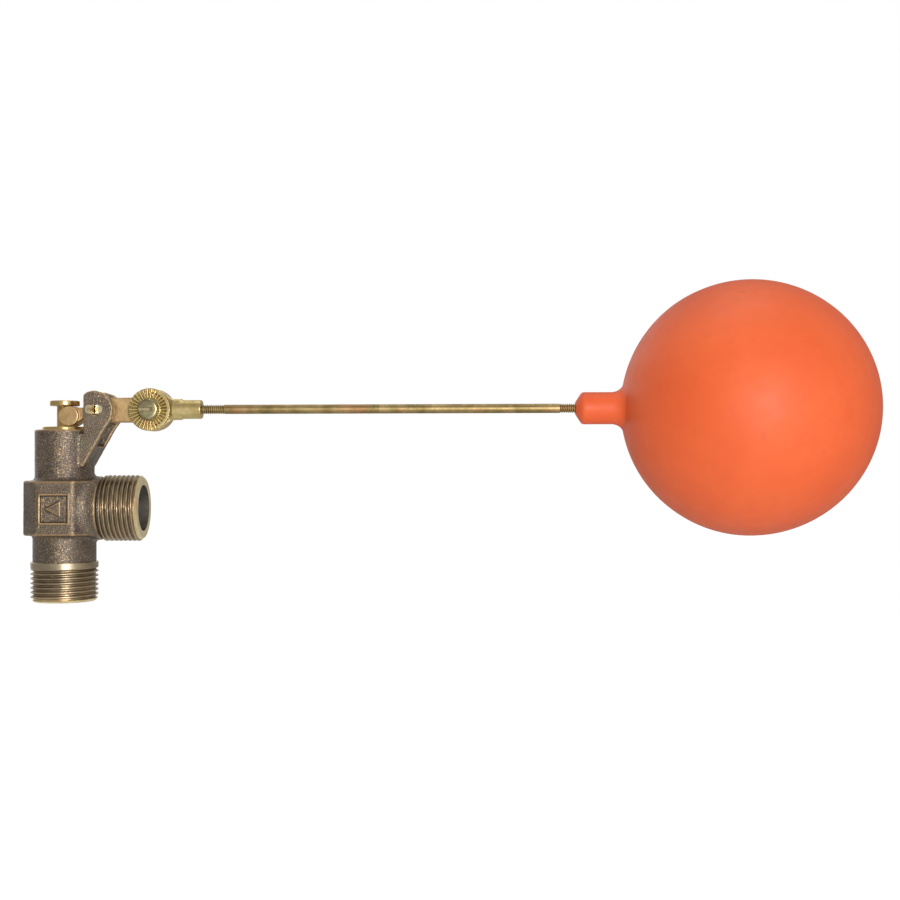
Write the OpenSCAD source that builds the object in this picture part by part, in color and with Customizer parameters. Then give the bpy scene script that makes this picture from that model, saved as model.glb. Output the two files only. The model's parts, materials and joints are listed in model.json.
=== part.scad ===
// Float valve for a water tank: an angle pattern body with a side inlet and a bottom outlet,
// a balanced piston, a forked lever, a serrated elbow joint, a rod and a hollow ball float.
// Millimetres. The origin is the centre of the bottom thread's end face, +Z runs up the
// piston axis, and +X points to the side port and the float. The valve is shown closed.

/* [Ports] */
// Outside diameter of the two male pipe threads
port_od = 33.25; // [33:0.05:33.5]
// Bore of the two ports
port_bore = 23.2; // [23:0.1:23.6]
// Length of the bottom thread with its smooth collar
outlet_len = 19.9; // [18:0.1:21]
// Height of the side port's axis
inlet_z = 46.8; // [46.6:0.1:47]
// Distance from the piston axis to the side port's face
inlet_reach = 40.3; // [39:0.1:41]
// Length of the side thread
inlet_len = 18.9; // [17:0.1:19]

/* [Casting] */
// Width of the square block across its flats
block_af = 36.9; // [36.5:0.1:37.5]
// Width of one flat between the corner chamfers
block_flat = 19.4; // [18:0.1:20]
// Height of the block's underside
block_bottom = 33.2; // [33:0.1:34]
// Height of the block's top
block_top = 60.9; // [60.5:0.1:61.5]
// Diameter of the neck between the bottom thread and the block
neck_od = 31.5; // [31:0.1:32]
// Diameter of the round boss that carries the side port
boss_od = 32; // [31.5:0.1:32.5]
// Diameter of the upper cylinder
cylinder_od = 29.6; // [29:0.1:30]
// Height of the upper cylinder's top face
cylinder_top = 86.5; // [86:0.1:87]

/* [Bracket] */
// Distance of the lever's pivot from the piston axis
pivot_x = 18.2; // [18:0.1:18.4]
// Height of the lever's pivot
pivot_z = 96.2; // [96:0.1:96.4]
// Radius of the round end of each ear
ear_r = 9.2; // [9:0.1:9.5]
// Distance of the ears' straight back edge from the piston axis
ear_back = 12.1; // [12:0.1:13]
// Width over both ears
bracket_w = 22; // [21.6:0.1:22.6]
// Width of the slot between the ears
slot_w = 14; // [14:0.1:14.4]
// Height of the slot's floor
slot_floor = 78; // [77:0.1:80]
// Diameter of the split pin
pin_d = 4.7; // [4.5:0.1:4.8]

/* [Piston] */
// Bore of the upper cylinder
piston_bore = 22; // [21.8:0.1:22.2]
// Height of the shoulder that the fork lifts from
shoulder_z = 87.8; // [87.7:0.1:87.8]
// Length of the neck that the fork straddles
spool_gap = 10.6; // [10.6:0.1:10.8]
// Diameter of the neck
spool_neck = 7.8; // [7.6:0.1:7.8]
// Diameter of the top disc
spool_disc = 14.8; // [14:0.1:15]
// Thickness of the top disc
spool_disc_t = 2.6; // [2:0.1:2.8]

/* [Lever] */
// Radius of the round fork cheeks
cheek_r = 5.1; // [5:0.05:5.1]
// Distance of the cheeks from the piston axis
cheek_x = 3.6; // [3.5:0.1:3.7]
// Height of the cheeks' centre
cheek_z = 93.1; // [93.1:0.05:93.15]
// Width over the fork
fork_w = 13.4; // [13.2:0.1:13.6]
// Gap between the prongs
fork_gap = 8.4; // [8.2:0.1:8.6]
// Height of the bar
bar_h = 12.6; // [12:0.1:12.8]
// Thickness of the bar
bar_t = 8; // [7.6:0.1:8.4]

/* [Elbow joint] */
// Distance of the joint's axis from the piston axis
joint_x = 45; // [44.6:0.1:45.4]
// Diameter of the two discs
disc_d = 21.5; // [21:0.1:22]
// Number of serrations in each ring
teeth = 30; // [24:6:36]
// Depth of the serrations
tooth_h = 0.9; // [0.6:0.1:1]
// Inner and outer radius of each ring of serrations
ring_in = 5.7; // [5.6:0.1:5.8]
ring_out = 10.3; // [10:0.1:10.4]
// Diameter of the joint's screw
screw_d = 6; // [5.8:0.1:6]
// Diameter of the screw's head
head_d = 10.4; // [10:0.1:10.6]
// Height of the screw's head
head_h = 4.8; // [4.4:0.1:5]

/* [Rod and float] */
// Diameter of the float rod
rod_d = 4.76; // [4.7:0.02:4.8]
// Diameter of the rod's socket
socket_d = 9.56; // [9.4:0.02:9.7]
// End of the rod's socket
socket_end = 71.2; // [70:0.1:72]
// Start of the float's neck
neck_start = 257.5; // [250:0.5:265]
// Diameter of the float's neck
float_neck_d = 16; // [15.6:0.1:16.6]
// Diameter of the ball
ball_d = 127; // [126:0.5:128]
// Wall of the ball
ball_wall = 1.5; // [1.2:0.1:2]

/* [Hidden] */
$fn = 96;
eps = 0.01;
far = 20; // how far a cutter runs so that it passes right through
slide_fit = 0.05; // radial clearance of every shaft in its hole
port_r = port_od / 2;
port_bore_r = port_bore / 2;
block_edge = 1.4; // chamfer along the block's top and bottom
relief_w = 1.6; // groove between the boss and the side thread
relief_d = 28.6;
boss_end = inlet_reach - inlet_len - relief_w;

// Seat and chamber, from the bottom up
seat_ring_bottom = 26;
gasket_bottom = 31;
ledge_bottom = 32;
chamber_bottom = 34.6;
seat_z = 36.5;
chamber_top = 59.2;
chamber_r = 13;
ledge_r = 9.4;
seat_bore_r = 7;
nozzle_edge = 0.6; // height of the nozzle's chamfer
nozzle_land = 1.2; // width of the flat on which the washer closes
key_slot_w = 3.5;
key_slot_d = 1.6;

// Piston, in the closed place
washer_gap = 0.05; // keeps the closed washer just off the seat
washer_bottom = seat_z + washer_gap;
washer_t = 3.2;
washer_r = 9;
holder_bottom = 38;
holder_r = 10.4;
holder_top = 44;
waist_r = 5.5;
cup_bottom = 59.5;
cup_flange_bottom = 60;
cup_flange_top = 62;
cup_top = 64;
cup_wall = 1.3;
cup_washer_top = 65.2;
stud_r = 4;
stud_top = 73;
piston_r = piston_bore / 2 - slide_fit;
o_ring_z = 75;
o_ring_wire = 2.4;
o_ring_groove = 2.6;
clamp_screw_r = 2;
clamp_screw_top = 50;
clamp_washer_r = 5.5;
clamp_washer_t = 1.2;
clamp_head_r = 4;
clamp_head_h = 2.2;
clamp_slot = 1; // width and depth of the clamp screw's slot
disc_bottom = shoulder_z + spool_gap;

// Lever and elbow joint, along Y
open_angle = 35; // the lever's travel from closed to open
lever_face = -bar_t / 2; // crests of the lever's serrations
joint_gap = 0.1;
arm_rear = lever_face - joint_gap;
arm_core = 3.1;
arm_front = arm_rear - arm_core - 2 * tooth_h;
arm_y = (arm_rear + arm_front) / 2;
head_seat = arm_front + tooth_h - joint_gap;
head_slot_w = 1.6;
head_slot_d = 2.2;
spring_t = 1.5;
spring_r = 5.3;
nut_t = 5;
nut_af = 10;
screw_tail = 1.6;

// Rod and float
rod_grip = 12; // length of thread engaged at each end
ball_x = neck_start + 86.3;
ball_r = ball_d / 2;
insert_r = 5.5;
insert_len = 21;
insert_recess = 3.3; // depth of the plastic lip in front of the insert
neck_run = 27; // from the neck's end to well inside the ball
lip_r = 3;
lip_hole_r = rod_d / 2 + 0.25;

// ---- shared shapes ----

// A turned piece between two heights on the piston axis
module turned(r, from, to) {
    translate([0, 0, from]) cylinder(r = r, h = to - from);
}

// A round bar along X, from one X to another
module bar_x(r, from, to, y = 0, z = 0) {
    translate([from, y, z]) rotate([0, 90, 0]) cylinder(r = r, h = to - from);
}

// A round bar along Y, from one Y to another
module bar_y(r, from, to, x = 0, z = 0) {
    translate([x, from, z]) rotate([-90, 0, 0]) cylinder(r = r, h = to - from);
}

// A flat shape drawn as X and Z, given thickness along Y
module plate_y(from, to) {
    translate([0, to, 0]) rotate([90, 0, 0]) linear_extrude(to - from) children();
}

// A male pipe end along +Z at the thread's major diameter
module pipe_end(len) {
    cylinder(r = port_r, h = len);
}

// A ring of radial serrations along +Y: crests at y = 0, roots at y = tooth_h
module serrations() {
    pitch = 360 / teeth;
    half = ring_out * tan(pitch / 2);
    difference() {
        bar_y(ring_out, 0, tooth_h + eps);
        bar_y(ring_in, -1, tooth_h + 1);
        for (i = [0:teeth - 1]) rotate([0, i * pitch, 0]) tooth_gap(half);
    }
}

// One V-shaped gap between two serrations, open towards -Y
module tooth_gap(half) {
    depth = tooth_h * 0.95;
    over = 0.2; // how far the cutter starts in front of the crests
    mouth = half * 0.8 * (depth + over) / depth;
    translate([ring_in - 1, 0, 0]) rotate([90, 0, 90]) linear_extrude(ring_out - ring_in + 2)
        polygon([[-mouth, -over], [mouth, -over], [0, depth]]);
}

// ---- valve body ----

module block_outline(inset = 0) {
    a = block_af / 2 - inset;
    b = block_flat / 2 - inset * (sqrt(2) - 1);
    polygon([[a, b], [b, a], [-b, a], [-a, b], [-a, -b], [-b, -a], [b, -a], [a, -b]]);
}

// One slice of the block, level and with straight sides
module block_slice(inset, from, to) {
    translate([0, 0, from]) linear_extrude(to - from) block_outline(inset);
}

module block() {
    thin = 0.02;
    hull() {
        block_slice(block_edge, block_bottom, block_bottom + thin);
        block_slice(0, block_bottom + block_edge, block_top - block_edge);
        block_slice(block_edge, block_top - thin, block_top);
    }
}

// Side view of one ear: a round end on a straight-backed arm that slants to the cylinder
module ear_outline() {
    slant = [0.8699, -0.4932]; // square to the ear's slanted lower edge
    touch = [pivot_x, pivot_z] + ear_r * slant;
    run = 27.8; // length of the slanted edge
    foot = touch - run * [-slant[1], slant[0]];
    top = pivot_z + ear_r;
    translate([pivot_x, pivot_z]) circle(r = ear_r);
    polygon([
        [5, 66], foot, touch, [pivot_x, pivot_z], [pivot_x, top], [ear_back + 2, top - 0.5],
        [ear_back, top - 2.4], [ear_back, cylinder_top - 2], [5, cylinder_top - 2]
    ]);
}

module bracket() {
    difference() {
        plate_y(-bracket_w / 2, bracket_w / 2) ear_outline();
        translate([0, -slot_w / 2, slot_floor]) cube([2 * far, slot_w, 2 * far]);
        translate([0, -bracket_w, cylinder_top]) cube([ear_back, 2 * bracket_w, far]);
    }
}

// Recessed square panel on the front flat, with a plain triangle that shows the flow
module panel_recess() {
    panel_w = 13.6;
    depth = 0.8;
    front = -block_af / 2;
    difference() {
        translate([-panel_w / 2, front - 1, inlet_z - panel_w / 2])
            cube([panel_w, depth + 1, panel_w]);
        translate([0, 0, inlet_z]) plate_y(front, front + depth + 1)
            polygon([[-4, 0], [3, 3.6], [3, -3.6]]);
    }
}

module valve_body() color([0.43, 0.38, 0.33]) difference() {
    union() {
        pipe_end(outlet_len);
        turned(neck_od / 2, outlet_len - eps, block_bottom + 1);
        block();
        turned(cylinder_od / 2, block_top - 1, cylinder_top);
        bar_x(boss_od / 2, 0, boss_end, z = inlet_z);
        bar_x(relief_d / 2, 0, inlet_reach - inlet_len + eps, z = inlet_z);
        translate([inlet_reach, 0, inlet_z]) rotate([0, -90, 0]) pipe_end(inlet_len);
        bracket();
    }
    turned(port_bore_r, -1, ledge_bottom);
    turned(ledge_r, ledge_bottom - 1, chamber_bottom + 1);
    turned(chamber_r, chamber_bottom, chamber_top);
    turned(piston_bore / 2, chamber_top - 1, cylinder_top + far);
    bar_x(port_bore_r, 0, inlet_reach + 1, z = inlet_z);
    bar_y(pin_d / 2, -far, far, pivot_x, pivot_z);
    panel_recess();
}

// Seat that screws up from the outlet, with a raised nozzle and two key slots
module seat_ring() color([0.78, 0.66, 0.38]) difference() {
    union() {
        turned(port_bore_r - slide_fit, seat_ring_bottom, gasket_bottom);
        turned(ledge_r - slide_fit, gasket_bottom - eps, seat_z - nozzle_edge);
        translate([0, 0, seat_z - nozzle_edge])
            cylinder(r1 = ledge_r - slide_fit, r2 = seat_bore_r + nozzle_land, h = nozzle_edge);
    }
    turned(seat_bore_r, 0, seat_z + 1);
    translate([-far, -key_slot_w / 2, seat_ring_bottom - 1])
        cube([2 * far, key_slot_w, key_slot_d + 1]);
}

module seat_gasket() color([0.55, 0.3, 0.2]) difference() {
    turned(port_bore_r - 2 * slide_fit, gasket_bottom, ledge_bottom);
    turned(ledge_r, 0, seat_z);
}

// Split pin on which the lever turns: round shank, eye at the rear, two legs opened at the front
module fulcrum_split_pin() color([0.72, 0.66, 0.5]) translate([pivot_x, 0, pivot_z]) {
    ear_face = bracket_w / 2;
    leg_l = 5.2;
    leg_w = 1.9;
    leg_angle = 38;
    eye_r = 2.9;
    bar_y(pin_d / 2 - slide_fit, -ear_face - 0.4, ear_face + 0.4);
    for (side = [-1, 1])
        translate([side * 0.2, -ear_face, 0]) rotate([0, 0, side * leg_angle])
            bar_y(leg_w / 2, -leg_l, 0, x = side * leg_w / 2);
    translate([0, ear_face + 0.3 + eye_r, 0])
        rotate_extrude() translate([eye_r, 0]) circle(d = leg_w);
}

// ---- piston ----

// Upper half of the piston: guide, neck that the fork straddles, and top disc
module piston_stem() color([0.77, 0.65, 0.42]) difference() {
    union() {
        turned(piston_r, cup_washer_top, shoulder_z);
        turned(spool_neck / 2, shoulder_z - eps, disc_bottom + eps);
        turned(spool_disc / 2, disc_bottom, disc_bottom + spool_disc_t);
    }
    turned(stud_r + slide_fit, cup_washer_top - 1, stud_top + 1);
    difference() {
        turned(piston_r + 1, o_ring_z - o_ring_groove / 2, o_ring_z + o_ring_groove / 2);
        turned(piston_r - o_ring_wire, o_ring_z - 2, o_ring_z + 2);
    }
}

// Lower half: stud and flange for the cup seal, waist in the chamber, and washer holder
module piston_spool() color([0.77, 0.65, 0.42]) difference() {
    union() {
        turned(holder_r, holder_bottom, holder_top);
        turned(waist_r, holder_top - eps, cup_flange_bottom + eps);
        turned(piston_r - cup_wall - slide_fit, cup_flange_bottom, cup_flange_top);
        turned(stud_r, cup_flange_top - eps, stud_top);
    }
    turned(washer_r + slide_fit, holder_bottom - 1, washer_bottom + washer_t);
    turned(clamp_screw_r + slide_fit, holder_bottom, clamp_screw_top + 1);
}

module cup_seal() color([0.2, 0.17, 0.15]) difference() {
    turned(piston_r, cup_bottom, cup_top);
    turned(piston_r - cup_wall, cup_bottom - 1, cup_flange_top);
    turned(stud_r + slide_fit, cup_bottom, cup_top + 1);
}

module cup_washer() color([0.78, 0.66, 0.38]) difference() {
    turned(piston_r - 0.8, cup_top, cup_washer_top);
    turned(stud_r + slide_fit, cup_top - 1, cup_washer_top + 1);
}

module piston_o_ring() color([0.12, 0.12, 0.12]) translate([0, 0, o_ring_z])
    rotate_extrude() translate([piston_r - o_ring_wire / 2, 0]) circle(d = o_ring_wire);

module seat_washer() color([0.15, 0.15, 0.15]) difference() {
    turned(washer_r, washer_bottom, washer_bottom + washer_t);
    turned(clamp_screw_r + slide_fit, washer_bottom - 1, washer_bottom + washer_t + 1);
}

module seat_washer_retainer() color([0.78, 0.66, 0.38]) difference() {
    turned(clamp_washer_r, washer_bottom - clamp_washer_t, washer_bottom);
    turned(clamp_screw_r + slide_fit, 0, washer_bottom + 1);
}

module seat_washer_screw() color([0.75, 0.64, 0.36]) difference() {
    head_top = washer_bottom - clamp_washer_t;
    union() {
        turned(clamp_screw_r, head_top - eps, clamp_screw_top);
        turned(clamp_head_r, head_top - clamp_head_h, head_top);
    }
    translate([-clamp_head_r - 1, -clamp_slot / 2, head_top - clamp_head_h - 1])
        cube([2 * clamp_head_r + 2, clamp_slot, clamp_slot + 1]);
}

// ---- lever ----

// Side view of one prong; its lower edge stays above the rising shoulder up to full travel
module prong_outline() {
    cheek = [cheek_x, cheek_z];
    under = [cheek_r * sin(open_angle), -cheek_r * cos(open_angle)];
    along = [cos(open_angle), sin(open_angle)];
    straight = 7.5; // length of the prong's straight lower edge
    prong_top = pivot_z + 1.3;
    translate(cheek) circle(r = cheek_r);
    polygon([
        cheek, cheek + under, cheek + under + straight * along, [pivot_x, pivot_z],
        [pivot_x - 5, prong_top], [cheek_x + 2, prong_top]
    ]);
}

module lever() color([0.78, 0.65, 0.42]) difference() {
    fork_root = cheek_x + 3;
    union() {
        plate_y(-fork_w / 2, fork_w / 2) prong_outline();
        bar_y(bar_h / 2, -fork_w / 2, fork_w / 2, pivot_x, pivot_z);
        translate([pivot_x, -bar_t / 2 + tooth_h, pivot_z - bar_h / 2])
            cube([joint_x - pivot_x, bar_t - tooth_h, bar_h]);
        bar_y(disc_d / 2, lever_face + tooth_h, bar_t / 2, joint_x, pivot_z);
        translate([joint_x, lever_face, pivot_z]) serrations();
        lever_front_skin();
    }
    translate([fork_root - far, -fork_gap / 2, pivot_z - far]) cube([far, fork_gap, 2 * far]);
    bar_y(pin_d / 2, -far, far, pivot_x, pivot_z);
    bar_y(screw_d / 2 + slide_fit, -far, far, joint_x, pivot_z);
}

// Front layer of the bar, which stops short of the ring of serrations
module lever_front_skin() {
    difference() {
        translate([pivot_x, lever_face, pivot_z - bar_h / 2])
            cube([joint_x - pivot_x - 5, tooth_h + eps, bar_h]);
        bar_y(disc_d / 2 + 0.5, lever_face - 1, lever_face + tooth_h, joint_x, pivot_z);
    }
}

// Cheese-head screw that clamps the elbow joint
module joint_screw() color([0.5, 0.48, 0.33]) difference() {
    union() {
        bar_y(head_d / 2, head_seat - head_h, head_seat, joint_x, pivot_z);
        bar_y(screw_d / 2, head_seat - eps, bar_t / 2 + spring_t + nut_t + screw_tail, joint_x, pivot_z);
    }
    translate([joint_x - head_d, head_seat - head_h - 1, pivot_z - head_slot_w / 2])
        cube([2 * head_d, head_slot_d + 1, head_slot_w]);
}

module joint_spring_washer() color([0.72, 0.6, 0.36]) difference() {
    split = 1;
    bar_y(spring_r, bar_t / 2, bar_t / 2 + spring_t, joint_x, pivot_z);
    bar_y(screw_d / 2 + slide_fit, -far, far, joint_x, pivot_z);
    translate([joint_x - split / 2, 0, pivot_z]) cube([split, far, far]);
}

module joint_nut() color([0.75, 0.64, 0.36]) difference() {
    translate([joint_x, bar_t / 2 + spring_t, pivot_z]) rotate([-90, 0, 0])
        cylinder(d = nut_af / cos(30), h = nut_t, $fn = 6);
    bar_y(screw_d / 2 + slide_fit, -far, far, joint_x, pivot_z);
}

// ---- float arm ----

// Serrated disc with the socket that holds the rod
module arm_socket() color([0.8, 0.7, 0.42]) difference() {
    union() {
        bar_y(disc_d / 2, arm_front + tooth_h, arm_rear - tooth_h, joint_x, pivot_z);
        translate([joint_x, arm_front, pivot_z]) serrations();
        translate([joint_x, arm_rear, pivot_z]) mirror([0, 1, 0]) serrations();
        arm_web();
        bar_x(socket_d / 2, joint_x + disc_d / 2 + 0.6, socket_end, arm_y, pivot_z);
    }
    bar_y(screw_d / 2 + slide_fit, -far, far, joint_x, pivot_z);
    bar_x(rod_d / 2, socket_end - rod_grip, socket_end + 1, arm_y, pivot_z);
}

// Tapered web from the disc to the socket, clear of both rings of serrations
module arm_web() {
    half = socket_d / 2;
    inset = 0.2; // how far the web reaches into the disc
    difference() {
        plate_y(arm_front, arm_rear) translate([joint_x, pivot_z])
            polygon([[5, -8.4], [13, -half], [16, -half], [16, half], [13, half], [5, 8.4]]);
        bar_y(disc_d / 2 - inset, -far, arm_front + tooth_h, joint_x, pivot_z);
        bar_y(disc_d / 2 - inset, arm_rear - tooth_h, far, joint_x, pivot_z);
    }
}

module float_rod() color([0.6, 0.54, 0.34])
    bar_x(rod_d / 2 - slide_fit, socket_end - rod_grip, neck_start + insert_recess + rod_grip,
          arm_y, pivot_z);

module float_insert() color([0.72, 0.62, 0.36]) difference() {
    bar_x(insert_r, neck_start + insert_recess, neck_start + insert_len, arm_y, pivot_z);
    bar_x(rod_d / 2, neck_start, neck_start + insert_recess + rod_grip + 2, arm_y, pivot_z);
}

// Hollow ball with a solid-ended neck, coned where the neck meets the ball
module float_shell() color([0.95, 0.42, 0.2]) translate([ball_x, arm_y, pivot_z]) {
    neck_r = float_neck_d / 2;
    neck_x = neck_start - ball_x;
    flare = 4;
    flare_x = -sqrt(pow(ball_r, 2) - pow(neck_r + flare, 2));
    difference() {
        union() {
            sphere(r = ball_r, $fn = 180);
            translate([neck_x, 0, 0]) rotate([0, 90, 0]) {
                cylinder(r1 = lip_r, r2 = neck_r, h = insert_recess);
                translate([0, 0, insert_recess]) cylinder(r = neck_r, h = neck_run - insert_recess);
            }
            translate([flare_x - flare, 0, 0]) rotate([0, 90, 0])
                cylinder(r1 = neck_r, r2 = neck_r + flare, h = flare);
        }
        difference() {
            sphere(r = ball_r - ball_wall, $fn = 180);
            bar_x(neck_r, neck_x, neck_x + neck_run);
        }
        bar_x(lip_hole_r, neck_x - 1, neck_x + insert_recess + 1);
        bar_x(insert_r + slide_fit, neck_x + insert_recess, neck_x + insert_len);
    }
}

valve_body();
seat_ring();
seat_gasket();
fulcrum_split_pin();
piston_stem();
piston_spool();
cup_seal();
cup_washer();
piston_o_ring();
seat_washer();
seat_washer_retainer();
seat_washer_screw();
lever();
joint_screw();
joint_spring_washer();
joint_nut();
arm_socket();
float_rod();
float_insert();
float_shell();
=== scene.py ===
"""Looks for the float valve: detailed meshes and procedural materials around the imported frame.

Shapes are worked out in millimetres and turned to metres when a mesh is made. Cast and milled pieces
are signed distance fields, meshed by surface nets; turned pieces are revolved profiles.
"""

import json
import math

import bpy
import numpy as np
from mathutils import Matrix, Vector, noise

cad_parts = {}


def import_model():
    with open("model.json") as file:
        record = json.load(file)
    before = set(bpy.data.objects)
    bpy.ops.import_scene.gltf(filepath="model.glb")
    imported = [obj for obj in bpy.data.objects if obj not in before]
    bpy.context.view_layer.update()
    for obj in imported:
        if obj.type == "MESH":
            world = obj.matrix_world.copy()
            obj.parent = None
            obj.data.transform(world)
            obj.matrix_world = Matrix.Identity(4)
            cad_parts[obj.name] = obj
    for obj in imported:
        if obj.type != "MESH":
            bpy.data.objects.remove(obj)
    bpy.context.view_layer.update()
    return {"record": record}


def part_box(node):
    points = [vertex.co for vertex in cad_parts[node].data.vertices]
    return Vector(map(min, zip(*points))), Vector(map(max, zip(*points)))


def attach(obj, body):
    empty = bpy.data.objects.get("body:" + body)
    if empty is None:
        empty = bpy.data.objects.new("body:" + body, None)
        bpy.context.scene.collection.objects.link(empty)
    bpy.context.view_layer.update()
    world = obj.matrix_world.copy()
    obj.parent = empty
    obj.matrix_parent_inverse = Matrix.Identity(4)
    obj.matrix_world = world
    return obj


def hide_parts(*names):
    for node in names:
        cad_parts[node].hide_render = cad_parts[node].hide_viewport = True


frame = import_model()
MM = 0.001

# ---- Driving dimensions, in mm, read from the frame ----


def node_box(name):
    """A node's lowest and highest corners in mm."""
    low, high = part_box(name)
    return np.array(low) / MM, np.array(high) / MM


def mount(name):
    return next(m for m in frame["record"]["mounts"] if m["name"] == name)


def joint_at(name):
    joint = next(j for j in frame["record"]["behaviour"]["joints"] if j["name"] == name)
    return np.array(joint["pos_m"]) / MM


BODY_LOW, BODY_HIGH = node_box("valve_body")
LEVER_LOW, LEVER_HIGH = node_box("lever")
ARM_LOW, ARM_HIGH = node_box("arm_socket")
SCREW_LOW, SCREW_HIGH = node_box("joint_screw")
NUT_LOW, NUT_HIGH = node_box("joint_nut")
ROD_LOW, ROD_HIGH = node_box("float_rod")
FLOAT_LOW, FLOAT_HIGH = node_box("float_shell")
INSERT_LOW, INSERT_HIGH = node_box("float_insert")
STEM_LOW, STEM_HIGH = node_box("piston_stem")
RING_LOW, RING_HIGH = node_box("seat_ring")

THREAD_R = mount("outlet_thread")["dims"]["r_mm"]
INLET_Z = mount("inlet_thread")["pos_m"][2] / MM
INLET_X = BODY_HIGH[0]
PIVOT_X, _, PIVOT_Z = joint_at("lever_pivot")
JOINT_X, ARM_Y, JOINT_Z = joint_at("arm_adjust")

PORT_BORE_R = 11.6
BLOCK_HALF = -BODY_LOW[1]
BLOCK_CUT = BLOCK_HALF + 9.7  # sum of |x| and |y| on a corner chamfer
BLOCK_BOTTOM, BLOCK_TOP = 33.2, 60.9
OUTLET_LEN, INLET_LEN = 19.9, 18.9
NECK_R, UPPER_R, BOSS_R, RELIEF_R = 15.75, 14.8, 16.0, 14.3
UPPER_TOP = 86.5
PISTON_BORE_R = 11.0
CHAMBER_R, CHAMBER_BOTTOM, CHAMBER_TOP = 13.0, 34.6, 59.2
LEDGE_R, LEDGE_BOTTOM = 9.4, 32.0
EAR_R, EAR_BACK, EAR_HALF_W, SLOT_HALF_W, SLOT_FLOOR = 9.2, 12.1, 11.0, 7.0, 78.0
PIN_R = 2.3

CHEEK_X, CHEEK_Z, CHEEK_R = 3.6, 93.1, 5.1
FORK_HALF_W = LEVER_HIGH[1]
FORK_HALF_GAP = 4.2
BAR_HALF_H, BAR_HALF_T = 6.3, 4.0
OPEN_ANGLE = math.radians(35)

DISC_R = (LEVER_HIGH[2] - LEVER_LOW[2]) / 2
TEETH, TOOTH_H = 30, 0.9
RING_IN, RING_OUT = 5.7, 10.3
ARM_FRONT, ARM_REAR = ARM_Y - 2.45, ARM_Y + 2.45
SOCKET_R, SOCKET_END = (ARM_HIGH[1] - ARM_LOW[1]) / 2, ARM_HIGH[0]
ROD_R = (ROD_HIGH[1] - ROD_LOW[1]) / 2
NECK_START, INSERT_START = FLOAT_LOW[0], INSERT_LOW[0]
BALL_R = (FLOAT_HIGH[2] - FLOAT_LOW[2]) / 2
BALL_X = FLOAT_HIGH[0] - BALL_R

# ---- Signed distance fields, in mm ----


def fillet(a, b, r):
    """Union of two fields with a fillet of radius r."""
    u, v = np.maximum(r - a, 0), np.maximum(r - b, 0)
    return np.maximum(r, np.minimum(a, b)) - np.sqrt(u * u + v * v)


def edged(a, b, r):
    """Intersection of two fields with its edge rounded to radius r."""
    u, v = np.maximum(r + a, 0), np.maximum(r + b, 0)
    return np.minimum(-r, np.maximum(a, b)) + np.sqrt(u * u + v * v)


def carve(a, b, r):
    """Field a with b cut away, and the cut's edge rounded to radius r."""
    return edged(a, -b, r)


def between(c, low, high):
    return np.maximum(low - c, c - high)


def round_bar(u, v, r, c, low, high, edge):
    """A round bar of radius r in the (u, v) plane, from low to high along c."""
    return edged(np.hypot(u, v) - r, between(c, low, high), edge)


def polygon_2d(x, z, points):
    """Signed distance to a closed outline of (x, z) points."""
    best = np.full(np.broadcast(x, z).shape, 1e9)
    sign = np.ones_like(best)
    for (ax, az), (bx, bz) in zip(points, points[1:] + points[:1]):
        ex, ez = bx - ax, bz - az
        wx, wz = x - ax, z - az
        t = np.clip((wx * ex + wz * ez) / (ex * ex + ez * ez), 0, 1)
        best = np.minimum(best, (wx - ex * t) ** 2 + (wz - ez * t) ** 2)
        above, below, left = z >= az, z < bz, ex * wz > ez * wx
        crossing = (above & below & left) | (~above & ~below & ~left)
        sign = np.where(crossing, -sign, sign)
    return sign * np.sqrt(best)


def tooth_wave(x, z):
    """0 on the crests and 1 in the roots of the radial serrations, with rounded crests."""
    angle = np.arctan2(z - JOINT_Z, x - JOINT_X)
    return (0.5 - 0.5 * np.cos(TEETH * angle)) ** 1.3


def thread_radius(major, depth, pitch, s, angle):
    """Radius of a right-hand helical thread at height s and this angle."""
    phase = s / pitch - angle / (2 * math.pi)
    groove = np.clip(1.3 * np.abs(2 * (phase - np.floor(phase)) - 1) - 0.15, 0, 1)
    return major - depth * groove * groove * (3 - 2 * groove)


# ---- Meshing ----


def surface_net(field, low, high, step):
    """Vertices and quads of the surface where field(x, y, z) is 0, pulled onto it."""
    axes = [np.arange(a - 2 * step, b + 3 * step, step) for a, b in zip(low, high)]
    grid = [a.reshape([-1 if i == j else 1 for j in range(3)]) for i, a in enumerate(axes)]
    inside = np.empty([len(a) for a in axes])
    inside[:] = field(*grid)
    cells = tuple(n - 1 for n in inside.shape)
    total, count = np.zeros(cells + (3,)), np.zeros(cells)
    corners = [(i, j, k) for i in (0, 1) for j in (0, 1) for k in (0, 1)]

    def shifted(c):
        return inside[tuple(slice(o, o + n) for o, n in zip(c, cells))]

    for axis in range(3):
        for c in (c for c in corners if c[axis] == 0):
            d = tuple(v + (i == axis) for i, v in enumerate(c))
            fa, fb = shifted(c), shifted(d)
            cut = (fa < 0) != (fb < 0)
            t = fa[cut] / (fa[cut] - fb[cut])
            place = np.tile(np.array(c, float), (len(t), 1))
            place[:, axis] += t
            total[cut] += place
            count[cut] += 1
    used = count > 0
    index = np.full(cells, -1)
    index[used] = np.arange(used.sum())
    base = np.argwhere(used) + total[used] / count[used][:, None]
    verts = base * step + np.array([a[0] for a in axes])
    quads = np.concatenate([net_quads(inside, index, axis) for axis in range(3)])
    return settle(field, verts, step), quads


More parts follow.
